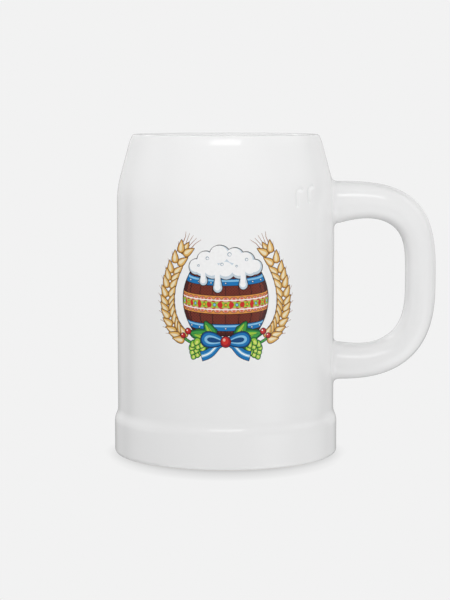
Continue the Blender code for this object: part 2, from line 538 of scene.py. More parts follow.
def wall_vertex(surface, body, spot, relief):
    """A vertex on the outer wall, or on the relief of the wall."""

    def raised(x, y):
        point, normal = body.place(*body.upright(x, y))
        return Vector(point) + Vector(normal) * relief(x, y)

    x, y = spot
    point, normal = body.place(*body.upright(x, y))
    if relief:
        across = raised(x + NORMAL_STEP, y) - raised(x - NORMAL_STEP, y)
        up = raised(x, y + NORMAL_STEP) - raised(x, y - NORMAL_STEP)
        point, normal = raised(x, y), across.cross(up).normalized()
    return surface.vertex(point, normal)


# The handle


class HandleEdge:
    """One edge of the handle in the plane of its axis: (distance from the wall, height).

    squareness and flares are pairs, for the upper and the lower arm.
    """

    def __init__(self, reach, top, bottom, middle, squareness, flares, flare_length):
        self.reach = reach
        self.spans = {True: top - middle, False: middle - bottom}
        self.middle = middle
        self.squareness = dict(zip((True, False), squareness))
        self.flares = dict(zip((True, False), flares))
        self.flare_length = flare_length

    def height(self, out, up):
        """The height of the upper or the lower arm's edge at a distance from the wall."""
        out = min(max(out, 0.0), self.reach)
        squareness = self.squareness[up]
        rise = self.spans[up] * (1 - (out / self.reach) ** squareness) ** (1 / squareness)
        rise -= self.flares[up] * max(0.0, 1 - out / self.flare_length) ** 2
        return self.middle + rise if up else self.middle - rise

    def at(self, angle):
        """The point at 90 degrees for the upper root, 0 for the grip and -90 for the lower root."""
        up = angle >= 0
        out = self.reach * max(math.cos(angle), 0.0) ** (2 / self.squareness[up])
        return out, self.height(out, up)


def handle_edges(sizes):
    """The handle's outer edge and the edge of its finger hole."""
    wall = sizes.foot_radius - sizes.base_flare
    reach = sizes.grip_reach - wall
    top = sizes.height - sizes.handle_drop
    bottom = sizes.handle_rise
    middle = (top + bottom) / 2
    hole_top, hole_bottom = top - sizes.upper_arm, bottom + sizes.lower_arm
    flares = (sizes.upper_flare, sizes.lower_flare)
    return (
        HandleEdge(reach, top, bottom, middle, OUTER_SQUARENESS, (0.0, 0.0), sizes.flare_length),
        HandleEdge(
            reach - sizes.grip, hole_top, hole_bottom, middle, HOLE_SQUARENESS, flares, sizes.flare_length
        ),
    )


def section_ring():
    """Points of the handle's section as (across, outwards) shares of its half sizes, with their turn."""
    ring = []
    for k in range(HANDLE_SIDES):
        turn = math.tau * k / HANDLE_SIDES
        exponent = 2 / SECTION_SQUARENESS
        swell = 1 + SECTION_FLATS * math.cos(FLATS_AROUND * turn)
        across = power(math.cos(turn), exponent) * swell
        ring.append((across, power(math.sin(turn), exponent) * swell, turn))
    return ring


def handle_stations(edges, start):
    """Pairs of points on both edges, evenly spaced from one root to the other, as (outer, hole)."""
    outer, hole = edges
    pairs = []
    for i in range(PATH_SAMPLES + 1):
        angle = math.pi * (0.5 - i / PATH_SAMPLES)
        pair = (outer.at(angle), hole.at(angle))
        if pair[0][0] + pair[1][0] >= 2 * start:
            pairs.append(pair)
    table = np.array(pairs)
    middles = table.mean(axis=1)
    run = np.concatenate([[0.0], np.cumsum(np.linalg.norm(np.diff(middles, axis=0), axis=1))])
    even = np.linspace(0.0, run[-1], HANDLE_RINGS)
    return [
        [(np.interp(at, run, table[:, k, 0]), np.interp(at, run, table[:, k, 1])) for k in (0, 1)]
        for at in even
    ]


def root_ring(sizes, body, edges, up):
    """Where the handle meets the wall: for each side of the section the point where the joint's
    softening leaves the handle, the point on the wall under it, the one where it reaches the wall,
    and the handle's normal."""
    ring = []
    fillet = sizes.root_fillet
    for across, along, turn in section_ring():
        y = across * sizes.handle_width / 2
        out = fillet
        for _ in range(ROOT_PASSES):
            heights = [edge.height(out, up) for edge in edges]
            half = (heights[0] - heights[1]) / 2
            z = (heights[0] + heights[1]) / 2 + half * along
            x = math.sqrt(body.radius_at(z) ** 2 - y * y)
            out = x - body.wall_radius + fillet
        steep = 2 - 2 / SECTION_SQUARENESS
        side_y = power(math.cos(turn), steep) * 2 / sizes.handle_width
        side = Vector((0.0, side_y, power(math.sin(turn), steep) / half)).normalized()
        wall_y, wall_z = y + side.y * fillet, z + side.z * fillet
        wall_x = math.sqrt(body.radius_at(wall_z) ** 2 - wall_y**2)
        land = Vector((wall_x, wall_y, wall_z))
        ring.append((Vector((x + fillet, y, z)), Vector((x, y, z)), land, side))
    return ring


def softened(root):
    """Rings of (point, normal) from the handle down to the wall, along the joint's softening."""
    rings = []
    for step in range(1, FILLET_STEPS + 1):
        t = step / FILLET_STEPS
        ring = []
        for leave, corner, land, side in root:
            point = leave * (1 - t) ** 2 + corner * 2 * t * (1 - t) + land * t * t
            outward = Vector((land.x, land.y, 0.0)).normalized()
            ring.append((point, (side * (1 - t) + outward * t).normalized()))
        rings.append(ring)
    return rings


def handle_rings(sizes, body):
    """All rings of the handle as lists of points, without the softened joints, and both roots."""
    edges = handle_edges(sizes)
    roots = [root_ring(sizes, body, edges, up) for up in (True, False)]
    rings = [[leave for leave, _, _, _ in roots[0]]]
    for outer, hole in handle_stations(edges, STRAP_START * sizes.root_fillet):
        middle = ((outer[0] + hole[0]) / 2, (outer[1] + hole[1]) / 2)
        half = ((outer[0] - hole[0]) / 2, (outer[1] - hole[1]) / 2)
        ring = []
        for across, along, _ in section_ring():
            x = body.wall_radius + middle[0] + half[0] * along
            ring.append(Vector((x, across * sizes.handle_width / 2, middle[1] + half[1] * along)))
        rings.append(ring)
    rings.append([leave for leave, _, _, _ in roots[1]])
    return rings, roots


def ring_normals(rings):
    """Normals of a grid of rings, square to it both ways."""
    grid = np.array([[tuple(point) for point in ring] for ring in rings])
    around = np.roll(grid, -1, axis=1) - np.roll(grid, 1, axis=1)
    along = np.gradient(grid, axis=0)
    normals = np.cross(around, along)
    return normals / np.linalg.norm(normals, axis=2, keepdims=True)


def add_handle(surface, sizes, body):
    """Adds the handle with its softened joints, and returns the loops where it meets the wall."""
    rings, roots = handle_rings(sizes, body)
    normals = ring_normals(rings)
    for end, root in ((0, roots[0]), (-1, roots[1])):
        normals[end] = [tuple(side) for _, _, _, side in root]
    strap = [list(zip(ring, normal)) for ring, normal in zip(rings, normals)]
    strap = softened(roots[0])[::-1] + strap + softened(roots[1])
    ids = [[surface.vertex(point, normal) for point, normal in ring] for ring in strap]
    for i, (low, high) in enumerate(zip(ids, ids[1:])):
        for k in range(HANDLE_SIDES):
            after = (k + 1) % HANDLE_SIDES
            corners = (low[k], low[after], high[after], high[k])
            spots = ((k, i), (k + 1, i), (k + 1, i + 1), (k, i + 1))
            places = [on_map(HANDLE_MAP, a / HANDLE_SIDES, b / (len(ids) - 1)) for a, b in spots]
            surface.face(corners, "glaze", places)
    return [
        [
            (vertex, HANDLE_SIDE + math.atan2(point[1], point[0]), point[2])
            for (point, _), vertex in zip(strap[end], ids[end])
        ]
        for end in (0, -1)
    ]


# The fill mark

# Half the width of a stroke, the pitch of the points that carry its relief and how far they go on
# around it, then the strokes as (arc from the front, height), all in millimetres
MARK_WIDTH = 0.8
MARK_PITCH = 0.36
MARK_MARGIN = 2.0
MARK_STROKES = (
    ((31.7, 106.8), (31.7, 111.6), (32.2, 112.6), (33.2, 113.1), (34.2, 113.1)),
    ((38.6, 108.3), (38.6, 112.3), (39.1, 113.4), (40.3, 114.1), (41.5, 114.4)),
)


def stroke_distance(x, y):
    """How far a spot of the wall laid flat is from the nearest stroke of the fill mark, in mm."""
    nearest = math.inf
    for stroke in MARK_STROKES:
        for (ax, ay), (bx, by) in zip(stroke, stroke[1:]):
            dx, dy = bx - ax, by - ay
            t = ((x - ax) * dx + (y - ay) * dy) / (dx * dx + dy * dy)
            t = min(max(t, 0.0), 1.0)
            nearest = min(nearest, math.hypot(x - ax - dx * t, y - ay - dy * t))
    return nearest


def add_fill_mark(surface, sizes, body, window):
    """The moulded fill mark by the handle: two soft hooked strokes pressed into the wall."""

    def relief(x, y):
        return -sizes.mark_depth * math.exp(-((stroke_distance(x, y) / MARK_WIDTH) ** 2))

    xs = [x for stroke in MARK_STROKES for x, _ in stroke]
    ys = [y for stroke in MARK_STROKES for _, y in stroke]
    left, low = min(xs) - MARK_MARGIN, min(ys) - MARK_MARGIN
    fine = []
    for i in range(int((max(xs) - min(xs) + 2 * MARK_MARGIN) / MARK_PITCH)):
        for k in range(int((max(ys) - min(ys) + 2 * MARK_MARGIN) / MARK_PITCH)):
            fine.append((left + MARK_PITCH * (i + 0.5 * (k % 2)), low + MARK_PITCH * k))
    fill_window(surface, body, window, fine=fine, relief=relief)


# The print, drawn flat in millimetres round its middle

# Weights of its black outlines: most forms, small forms, hoops and belt, the foam, and the barrel
LINE = 0.24
FINE_LINE = 0.2
HOOP_LINE = 0.22
FOAM_LINE = 0.3
BARREL_LINE = 0.34


def placed(points, x, y, turn=0.0, scale=1.0):
    """The points turned, scaled and moved."""
    c, s = math.cos(turn) * scale, math.sin(turn) * scale
    return [(x + px * c - py * s, y + px * s + py * c) for px, py in points]


def shift(x, y, turn, along, across=0.0):
    """A point moved along a heading and to its left."""
    c, s = math.cos(turn), math.sin(turn)
    return (x + along * c - across * s, y + along * s + across * c)


def mirrored(points, side):
    """The points on the right for a side of 1, and on the left for -1."""
    return [(x * side, y) for x, y in points]


def oval(wide, high, count=24):
    """An ellipse round 0."""
    return [
        (wide / 2 * math.cos(math.tau * k / count), high / 2 * math.sin(math.tau * k / count))
        for k in range(count)
    ]


def drop(long, wide, point=0.7, count=22, frill=0.0, frills=0):
    """A seed or a leaf along +X, from its base at 0 to its tip."""
    outline = []
    for k in range(count):
        a = math.tau * k / count
        side = wide / 2 * math.sin(a) * (1 + point * math.cos(a)) * (1 + frill * math.sin(frills * a))
        outline.append((long * (1 - math.cos(a)) / 2, side))
    return outline


def disc(x, y, wide, high=None, count=24):
    """An oval in its place, round if it has no height of its own."""
    return placed(oval(wide, high or wide, count), x, y)


def signed_area(points):
    """The area inside an outline, positive if it runs to the left."""
    return sum(a[0] * b[1] - b[0] * a[1] for a, b in zip(points, points[1:] + points[:1])) / 2


def grown(points, by):
    """The outline moved outwards by a distance, with its corners mitred."""
    if signed_area(points) < 0:
        points = points[::-1]
    moved = []
    for before, here, after in zip(points[-1:] + points[:-1], points, points[1:] + points[:1]):
        a = Vector((here[0] - before[0], here[1] - before[1])).normalized()
        b = Vector((after[0] - here[0], after[1] - here[1])).normalized()
        out = Vector((a.y + b.y, -a.x - b.x))
        out *= 2 * by / max(out.length_squared, 0.8)
        moved.append((here[0] + out.x, here[1] + out.y))
    return moved


def strip(path, half):
    """A band along a path. half is its half-width, or a function of the share of the path."""
    left, right = [], []
    for i, (x, y) in enumerate(path):
        before, after = path[max(i - 1, 0)], path[min(i + 1, len(path) - 1)]
        turn = bearing(before, after)
        wide = half(i / (len(path) - 1)) if callable(half) else half
        left.append(shift(x, y, turn, 0.0, wide))
        right.append(shift(x, y, turn, 0.0, -wide))
    return right + left[::-1]


def bend(ends, count):
    """Points along a cubic curve from its first control point to its last."""
    a, b, c, d = (Vector(end) for end in ends)
    points = []
    for k in range(count + 1):
        t = k / count
        point = a * (1 - t) ** 3 + b * 3 * t * (1 - t) ** 2 + c * 3 * t * t * (1 - t) + d * t**3
        points.append(tuple(point))
    return points


class Picture:
    """The print's shapes in the order in which they are laid over each other."""

    def __init__(self):
        self.shapes = []

    def paint(self, ink, points):
        if signed_area(points) < 0:
            points = points[::-1]
        self.shapes.append((ink, points))

    def inked(self, ink, points, line=LINE):
        """A shape with a black outline."""
        self.paint("black", grown(points, line))
        self.paint(ink, points)


def draw_kernel(picture, x, y, turn, size):
    """A grain of barley with shade, body and light."""
    picture.inked("amber", placed(drop(5.6, 2.75), x, y, turn, size), line=FINE_LINE)
    picture.paint("ochre", placed(drop(4.9, 2.15), *shift(x, y, turn, 0.35 * size), turn, size))
    lit = shift(x, y, turn, 0.75 * size, 0.18 * size)
    picture.paint("cream", placed(drop(3.9, 1.15), *lit, turn, size))


def draw_awn(picture, points):
    """A bristle that thins towards its end."""
    picture.paint("umber", strip(points, lambda t: 0.17 * (1 - 0.6 * t)))


# An ear of barley, in millimetres and degrees. Its curve has this many steps, of which the stalk takes
# the first ones. The joints, which bear two kernels each, start on it and are some steps apart.
BARLEY_CURVE = ((-2.0, -20.2), (-21.5, -23.0), (-32.0, -4.0), (-18.0, 17.0))
BARLEY_STEPS = 60
STALK_STEPS = 22
FIRST_JOINT = 17.5
JOINT_STEPS = 3.5
JOINTS = 13
KERNEL_SPREAD = math.radians(27)
AWN_LEANS = (math.radians(9), math.radians(17))
TIP_AWN_LEANS = (-11, 0, 11)


def draw_barley(picture, side):
    """An ear of barley on a bent stalk, from below the barrel up its side."""
    curve = mirrored(bend(BARLEY_CURVE, BARLEY_STEPS), side)
    joints = []
    for k in range(JOINTS):
        i = round(FIRST_JOINT + JOINT_STEPS * k)
        joints.append((*curve[i], bearing(curve[i - 1], curve[min(i + 1, BARLEY_STEPS)])))
    tip_x, tip_y = curve[-1]
    tip_turn = bearing(curve[-2], curve[-1])
    for x, y, turn in joints:
        for lean in (-1, 1):
            start = shift(x, y, turn + lean * KERNEL_SPREAD, 4.6)
            middle = shift(*start, turn + lean * AWN_LEANS[0], 2.6)
            end = shift(*start, turn + lean * AWN_LEANS[1], 5.4 if lean == -side else 4.6)
            draw_awn(picture, [start, middle, end])
    for lean in TIP_AWN_LEANS:
        turn = tip_turn + math.radians(lean)
        draw_awn(picture, [shift(tip_x, tip_y, turn, reach) for reach in (0.0, 5.0, 9.0)])
    picture.paint("black", strip(curve[:STALK_STEPS], 0.62))
    picture.paint("green", strip(curve[:STALK_STEPS], 0.4))
    draw_kernel(picture, tip_x, tip_y, tip_turn, 1.0)
    for x, y, turn in reversed(joints):
        for lean in (-side, side):
            base = shift(x, y, turn, 0.0, lean * 0.75)
            draw_kernel(picture, *base, turn + lean * KERNEL_SPREAD, 0.94)


# The barrel, in millimetres: its middle's height from the print's, its half height, how much its level
# rings dip in front, as it is seen from a little above, and its half-width at the ends, with what it
# bulges out in the middle
BARREL_MIDDLE = -1.1
BARREL_HALF_HEIGHT = 12.4
BARREL_DIP = 2.2
BARREL_END = 13.4
BARREL_BULGE = 4.0
# The seams of the staves, as shares of the half-width, and the lower and the upper edge of each hoop
SEAMS = (-0.86, -0.62, -0.32, 0.0, 0.32, 0.62, 0.86)
HOOPS = ((-10.6, -8.0), (7.7, 10.3))


def barrel_half_width(up):
    """The barrel's half-width at a height over its middle."""
    return BARREL_END + BARREL_BULGE * (1 - (up / BARREL_HALF_HEIGHT) ** 2)


def hoop_line(up, count=24):
    """The front half of a level ring round the barrel, left to right."""
    half = barrel_half_width(up)
    points = []
    for k in range(count + 1):
        a = math.pi * k / count
        points.append((-half * math.cos(a), BARREL_MIDDLE + up - BARREL_DIP * math.sin(a)))
    return points


def hoop_band(low, high):
    """The front of a band round the barrel."""
    return hoop_line(low) + hoop_line(high)[::-1]


def on_barrel(up, degrees):
    """A spot on the barrel's front, by its height and its angle from the middle, and its squeeze."""
    a = math.radians(degrees)
    x = barrel_half_width(up) * math.sin(a)
    return x, BARREL_MIDDLE + up - BARREL_DIP * math.cos(a), math.cos(a)


def barrel_outline():
    """The barrel's whole outline."""
    half = BARREL_HALF_HEIGHT
    right = []
    for k in range(1, 14):
        up = -half + 2 * half * k / 14
        right.append((barrel_half_width(up), BARREL_MIDDLE + up))
    top = []
    for k in range(21):
        a = math.pi * k / 20
        top.append((barrel_half_width(half) * math.cos(a), BARREL_DIP * math.sin(a)))
    top = placed(top, 0.0, BARREL_MIDDLE + half)
    return hoop_line(-half) + right + top + mirrored(right, -1)[::-1]


def draw_barrel(picture):
    """Staves in maroon with black seams, and two riveted hoops."""
    outline = barrel_outline()
    picture.inked("plum", outline, line=BARREL_LINE)
    picture.paint("maroon", grown(outline, -1.25))
    for seam in SEAMS:
        drop_by = BARREL_DIP * math.sqrt(1 - seam * seam)
        ups = [BARREL_HALF_HEIGHT * (k / 7 - 1) for k in range(15)]
        path = [(seam * barrel_half_width(up), BARREL_MIDDLE + up - drop_by) for up in ups]
        picture.paint("black", strip(path, 0.13))
    for low, high in HOOPS:
        picture.inked("blue", hoop_band(low, high), line=HOOP_LINE)
        picture.paint("sky", hoop_band(high - 1.05, high - 0.35))
        for x, y in hoop_line((low + high) / 2 - 0.35, 8)[1:-1]:
            picture.paint("black", disc(x, y, 0.85, count=10))
            picture.paint("white", disc(x, y, 0.5, count=8))


def draw_belt(picture):
    """A folk-pattern belt round the barrel: scalloped lace on both edges and small flowers between."""
    low, high, lace = -3.7, 3.5, 1.7
    picture.inked("apricot", hoop_band(low, high), line=HOOP_LINE)
    picture.paint("red", hoop_band(low + lace, high - lace))
    for edge, way in ((low + lace, -1), (high - lace, 1)):
        for k in range(15):
            x, y, squeeze = on_barrel(edge, -77 + 11 * k)
            wide = 3.3 * max(squeeze, 0.3)
            lobe = disc(x, y + way * 0.15, wide, 2.5, 16)
            picture.paint("umber", lobe)
            picture.paint("pink", grown(lobe, -0.26))
            picture.paint("rose", disc(x, y + way * 0.5, wide * 0.38, 1.1, 10))
        picture.paint("white", hoop_band(edge - 0.18, edge + 0.18))
    for k in range(11):
        x, y, squeeze = on_barrel(-0.1, -75 + 15 * k)
        squeeze = max(squeeze, 0.35)
        for turn in (38, 142, 218, 322):
            petal = placed(drop(2.1, 1.2, count=12), 0.0, 0.0, math.radians(turn))
            picture.paint("lime", placed([(px * squeeze, py) for px, py in petal], x, y))
        picture.paint("black", disc(x, y, 1.5 * squeeze, 1.5, 12))
        picture.paint("gold" if k % 2 else "sky", disc(x, y, 1.1 * squeeze, 1.1, 12))


# The balls and the bubbles of the foam as (across, above the barrel's top, size): a radius for a
# ball and a width for a bubble. The runs are (across, reach down the front, half-width).
FOAM_BALLS = (
    (-11.8, 0.6, 3.1), (11.9, 0.5, 3.0), (-7.9, 3.2, 3.7), (8.1, 2.9, 3.7),
    (-2.3, 5.0, 4.3), (3.7, 4.6, 3.7), (-5.3, -0.5, 3.6), (5.6, -0.6, 3.5),
    (0.2, -0.8, 3.6), (-9.7, -0.3, 2.8), (10.0, -0.4, 2.7),
)
FOAM_RUNS = ((-9.0, 3.5, 1.45), (-3.2, 6.2, 1.6), (7.1, 5.0, 1.55))
FOAM_BUBBLES = (
    (-7.4, 4.1, 1.4), (1.5, 5.7, 1.7), (8.4, 3.6, 1.3),
    (-1.5, 1.7, 1.3), (4.4, 1.0, 1.0), (-11.0, 1.1, 1.0),
)


def draw_foam(picture):
    """A head of foam over the barrel's open top, with three runs down its front."""
    top = BARREL_MIDDLE + BARREL_HALF_HEIGHT
    forms = [disc(x, top + y, 2 * r, count=30) for x, y, r in FOAM_BALLS]
    for x, reach, half in FOAM_RUNS:
        path = [(x, top - 1.5 - reach * k / 8) for k in range(9)]
        forms.append(strip(path, lambda t: half * (1 - 0.28 * math.sin(math.pi * min(1.3 * t, 1.0)))))
        forms.append(disc(x, top - 1.5 - reach, 2.25 * half, 2.5 * half, 20))
    for form in forms:
        picture.paint("black", grown(form, FOAM_LINE))
    for form in forms:
        picture.paint("mist", form)
    for x, y, r in FOAM_BALLS:
        picture.paint("white", disc(x - 0.1 * r, top + y + 0.16 * r, 1.72 * r, 1.66 * r))
    for x, reach, half in FOAM_RUNS:
        path = [(x - 0.15, top - 0.7 - (reach + 0.4) * k / 8) for k in range(9)]
        picture.paint("white", strip(path, 0.62 * half))
        picture.paint("white", disc(x - 0.15, top - 1.3 - reach, 1.5 * half, 1.7 * half, 16))
    for x, y, size in FOAM_BUBBLES:
        picture.paint("steel", disc(x, top + y, size, count=14))
        picture.paint("white", disc(x + 0.06, top + y - 0.06, size - 0.42, count=12))


# Lobes of a hop leaf as (lean in degrees, length, width)
LEAF_LOBES = ((0, 9.0, 4.6), (48, 6.6, 3.6), (-48, 6.6, 3.6))


def draw_leaf(picture, x, y, turn, size):
    """A three-lobed hop leaf with notched edges, light along each rib and dark veins."""
    lobes = []
    for lean, reach, wide in LEAF_LOBES:
        lobes.append((turn + math.radians(lean), size * reach, size * wide))
    forms = [placed(drop(reach, wide, 0.45, 40, 0.09, 9), x, y, way) for way, reach, wide in lobes]
    for form in forms:
        picture.paint("black", grown(form, LINE))
    for form in forms:
        picture.paint("forest", form)
    for way, reach, wide in lobes:
        inner = shift(x, y, way, 0.5 * size)
        picture.paint("green", placed(drop(reach * 0.86, wide * 0.74, 0.45, 30), *inner, way))
        light = shift(x, y, way, 1.1 * size, 0.32 * size)
        picture.paint("lime", placed(drop(reach * 0.66, wide * 0.36, 0.5, 20), *light, way))
    for way, reach, _ in lobes:
        vein = [shift(x, y, way, reach * share) for share in (0.05, 0.3, 0.6, 0.86)]
        picture.paint("forest", strip(vein, lambda t: 0.2 * (1 - 0.7 * t)))


# Rows of a hop cone's bracts, from its tip to its top, as (distance from the top, places across)
CONE_ROWS = (
    (6.6, (0.0,)),
    (5.0, (-1.15, 1.15)),
    (3.3, (-2.15, 0.0, 2.15)),
    (1.7, (-2.2, 2.2)),
    (1.5, (0.0,)),
    (-0.1, (-1.2, 1.2)),
)


def draw_cone(picture, x, y, turn, size):
    """A hop cone that hangs from its top, with bracts that overlap like tiles."""
    for down, places in CONE_ROWS:
        for across in places:
            way = turn - math.radians(8 * across)
            base = shift(x, y, turn, down * size, -0.85 * across * size)
            picture.inked("green", placed(drop(4.0, 3.2, 0.2, 18), *base, way, size), line=FINE_LINE)
            inner = shift(*base, way, 0.35 * size)
            picture.paint("lime", placed(drop(3.4, 2.4, 0.2, 16), *inner, way, size))
            light = shift(*base, way, 1.3 * size, 0.15 * size)
            picture.paint("lemon", placed(drop(2.2, 1.2, 0.2, 12), *light, way, size))


def draw_berry(picture, x, y, size):
    """A round berry with a spot of light."""
    picture.inked("crimson", disc(x, y, size, count=16), line=FINE_LINE)
    picture.paint("red", disc(x - 0.15, y + 0.15, 0.66 * size, count=12))
    picture.paint("white", disc(x - 0.4, y + 0.4, 0.24 * size, count=8))


# The knot's place, and the curve of the ribbon's tail on the right
KNOT = (0.0, -18.3)
RIBBON_TAIL = ((0.6, -18.5), (5.2, -19.1), (3.8, -22.9), (9.8, -24.2))


def draw_bow(picture):
    """A ribbon tied where the stalks cross, with two tails."""
    x, y = KNOT
    for side in (-1, 1):
        tail = mirrored(bend(RIBBON_TAIL, 16), side)
        picture.inked("blue", strip(tail, lambda t: 1.35 + 0.5 * t))
        picture.paint("sky", strip(tail, 0.62))
        picture.paint("white", strip(tail, 0.22))
    for turn in (math.radians(172), math.radians(8)):
        picture.inked("navy", placed(drop(10.2, 6.0, -0.42, 26), x, y, turn))
        for ink, start, reach, wide in (
            ("blue", 0.3, 9.4, 5.0),
            ("sky", 1.3, 7.4, 3.3),
            ("navy", 1.8, 5.8, 1.9),
        ):
            picture.paint(ink, placed(drop(reach, wide, -0.42, 22), *shift(x, y, turn, start), turn))
    picture.inked("crimson", disc(x, y, 4.0, 4.4, 20))
    picture.paint("red", disc(x - 0.2, y + 0.3, 2.8, 3.1, 16))
    picture.paint("pink", disc(x - 0.6, y + 0.8, 1.1, 1.3, 12))


def draw_picture():
    """The whole print: a foaming barrel between two ears of barley, with hops and a ribbon."""
    picture = Picture()
    draw_barley(picture, -1)
    draw_barley(picture, 1)
    draw_barrel(picture)
    draw_belt(picture)
    draw_foam(picture)
    draw_leaf(picture, -4.5, -16.9, math.radians(168), 1.2)
    draw_leaf(picture, 4.5, -16.9, math.radians(12), 1.2)
    for side in (-1, 1):
        draw_cone(picture, side * 10.0, -17.4, math.radians(-90 + side * 24), 0.84)
        draw_berry(picture, side * 15.4, -14.2, 2.5)
        draw_berry(picture, side * 17.6, -16.0, 2.1)
    draw_bow(picture)
    return picture.shapes


# Materials

# Sockets of a colour Mix node, whose names repeat for its other kinds
FIRST, SECOND, MIXED = 6, 7, 2


def add_node(tree, kind, settings=None, links=None):
    """Adds a node. settings are its properties and its sockets' values, and links feed its sockets."""
    node = tree.nodes.new(kind)
    for key, value in (settings or {}).items():
        if isinstance(key, str) and hasattr(node, key):
            setattr(node, key, value)
        else:
            node.inputs[key].default_value = value
    for key, source in (links or {}).items():
        tree.links.new(source, node.inputs[key])
    return node


def empty_tree(owner):
    """The node tree of a new material or world, without the nodes that it comes with."""
    owner.use_nodes = True
    owner.node_tree.nodes.clear()
    return owner.node_tree


def new_material(name):
    """A material with its shader and the place on the object, in metres."""
    material = bpy.data.materials.new(name)
    tree = empty_tree(material)
    shader = add_node(tree, "ShaderNodeBsdfPrincipled")
    add_node(tree, "ShaderNodeOutputMaterial", links={"Surface": shader.outputs["BSDF"]})
    place = add_node(tree, "ShaderNodeTexCoord").outputs["Object"]
    return material, tree, shader, place


def shade(value, base):
    """A colour made darker by a factor."""
    return [channel * value for channel in base[:3]] + [1.0]


def clouded(tree, place, pitch, detail, darkest, base):
    """A colour that wanders down to a darker shade, in clouds of a given pitch, and the clouds."""
    clouds = add_node(tree, "ShaderNodeTexNoise", {"Scale": 1 / pitch, "Detail": detail}, {"Vector": place})
    height = clouds.outputs["Fac"]
    ends = {"data_type": "RGBA", FIRST: shade(darkest, base), SECOND: base}
    return add_node(tree, "ShaderNodeMix", ends, {"Factor": height}).outputs[MIXED], height


# The glaze's faint clouds, haze and ripple have their real pitch. The grit of the bare clay, the grain
# of the ink and the dots of its screen are really a tenth of a millimetre or two, which is finer than
# the render shows, so they are drawn as coarse as they need to show. Each shade is how dark the
# colour goes, as a share of itself.
GLAZE_CLOUD_PITCH = 22 * MM
GLAZE_CLOUD_SHADE = 0.985
GRIT_PITCH = 0.8 * MM
GRIT_SHADE = 0.8
GRIT_RELIEF = {"Strength": 0.3, "Distance": 0.2 * MM}
CLAY_ROUGHNESS = 0.75
INK_GRAIN_PITCH = 1.2 * MM
INK_GRAIN_SHADE = 0.88
DOT_SHADE = 0.22
# Millimetres from dot to dot, and where a dot's edge starts and ends, as shares of that
DOT_PITCH = 0.85
DOT_EDGE = {"From Min": 0.24, "From Max": 0.36, "To Min": 1.0, "To Max": 0.0}
GLAZE_IOR = 1.5
GLAZE_ROUGHNESS = {"To Min": 0.07, "To Max": 0.11}
HAZE_PITCH = 18 * MM
RIPPLE_PITCH = 7 * MM
RIPPLE_RELIEF = {"Strength": 0.04, "Distance": 0.3 * MM}


def gloss(tree, shader, place):
    """The hard clear face that a glaze freezes with: a soft ripple, and gloss that varies a little."""
    shader.inputs["IOR"].default_value = GLAZE_IOR
    settings = {"Scale": 1 / RIPPLE_PITCH, "Detail": 1.0}
    ripple = add_node(tree, "ShaderNodeTexNoise", settings, {"Vector": place}).outputs["Fac"]
    bump = add_node(tree, "ShaderNodeBump", RIPPLE_RELIEF, {"Height": ripple})
    tree.links.new(bump.outputs["Normal"], shader.inputs["Normal"])
    settings = {"Scale": 1 / HAZE_PITCH, "Detail": 2.0}
    haze = add_node(tree, "ShaderNodeTexNoise", settings, {"Vector": place}).outputs["Fac"]
    roughness = add_node(tree, "ShaderNodeMapRange", GLAZE_ROUGHNESS, {"Value": haze})
    tree.links.new(roughness.outputs["Result"], shader.inputs["Roughness"])


def white_glaze(colours):
    """White gloss glaze, dipped and fired: even and bright, faintly clouded where the coat is thicker."""
    material, tree, shader, place = new_material("dipped_white_gloss_glaze")
    coat, _ = clouded(tree, place, GLAZE_CLOUD_PITCH, 2.0, GLAZE_CLOUD_SHADE, list(colours.glaze))
    tree.links.new(coat, shader.inputs["Base Color"])
    gloss(tree, shader, place)
    return material


def bare_clay(colours):
    """Bare fired stoneware where the foot ring was wiped: matt and slightly warm, with fine grit."""
    material, tree, shader, place = new_material("wiped_bare_stoneware")
    body, grit = clouded(tree, place, GRIT_PITCH, 3.0, GRIT_SHADE, list(colours.clay))
    tree.links.new(body, shader.inputs["Base Color"])
    shader.inputs["Roughness"].default_value = CLAY_ROUGHNESS
    bump = add_node(tree, "ShaderNodeBump", GRIT_RELIEF, {"Height": grit})
    tree.links.new(bump.outputs["Normal"], shader.inputs["Normal"])
    return material


def transfer_ink(name, base):
    """Ceramic transfer ink, fired into the glaze: as glossy as the glaze, with a faint grain."""
    material, tree, shader, place = new_material("fired_transfer_" + name)
    ink, _ = clouded(tree, place, INK_GRAIN_PITCH, 2.0, INK_GRAIN_SHADE, base)
    if name == "maroon":
        ink = dot_screen(tree, ink, shade(DOT_SHADE, base))
    tree.links.new(ink, shader.inputs["Base Color"])
    gloss(tree, shader, place)
    return material


def dot_screen(tree, ground, ink):
    """Dark dots on a diagonal screen, as screen printing leaves them where one ink shades another."""
    spot = add_node(tree, "ShaderNodeUVMap", {"uv_map": "PrintMM"}).outputs["UV"]
    scale = PRINT_UNIT / DOT_PITCH
    settings = {"Rotation": (0.0, 0.0, math.radians(45)), "Scale": (scale, scale, 1.0)}
    turned = add_node(tree, "ShaderNodeMapping", settings, {"Vector": spot}).outputs["Vector"]
    cell = add_node(tree, "ShaderNodeVectorMath", {"operation": "FRACTION"}, {0: turned}).outputs["Vector"]
    settings = {"operation": "DISTANCE", 1: (0.5, 0.5, 0.0)}
    apart = add_node(tree, "ShaderNodeVectorMath", settings, {0: cell}).outputs["Value"]
    dots = add_node(tree, "ShaderNodeMapRange", DOT_EDGE, {"Value": apart}).outputs["Result"]
    settings = {"data_type": "RGBA", SECOND: ink}
    return add_node(tree, "ShaderNodeMix", settings, {"Factor": dots, FIRST: ground}).outputs[MIXED]


# Pieces


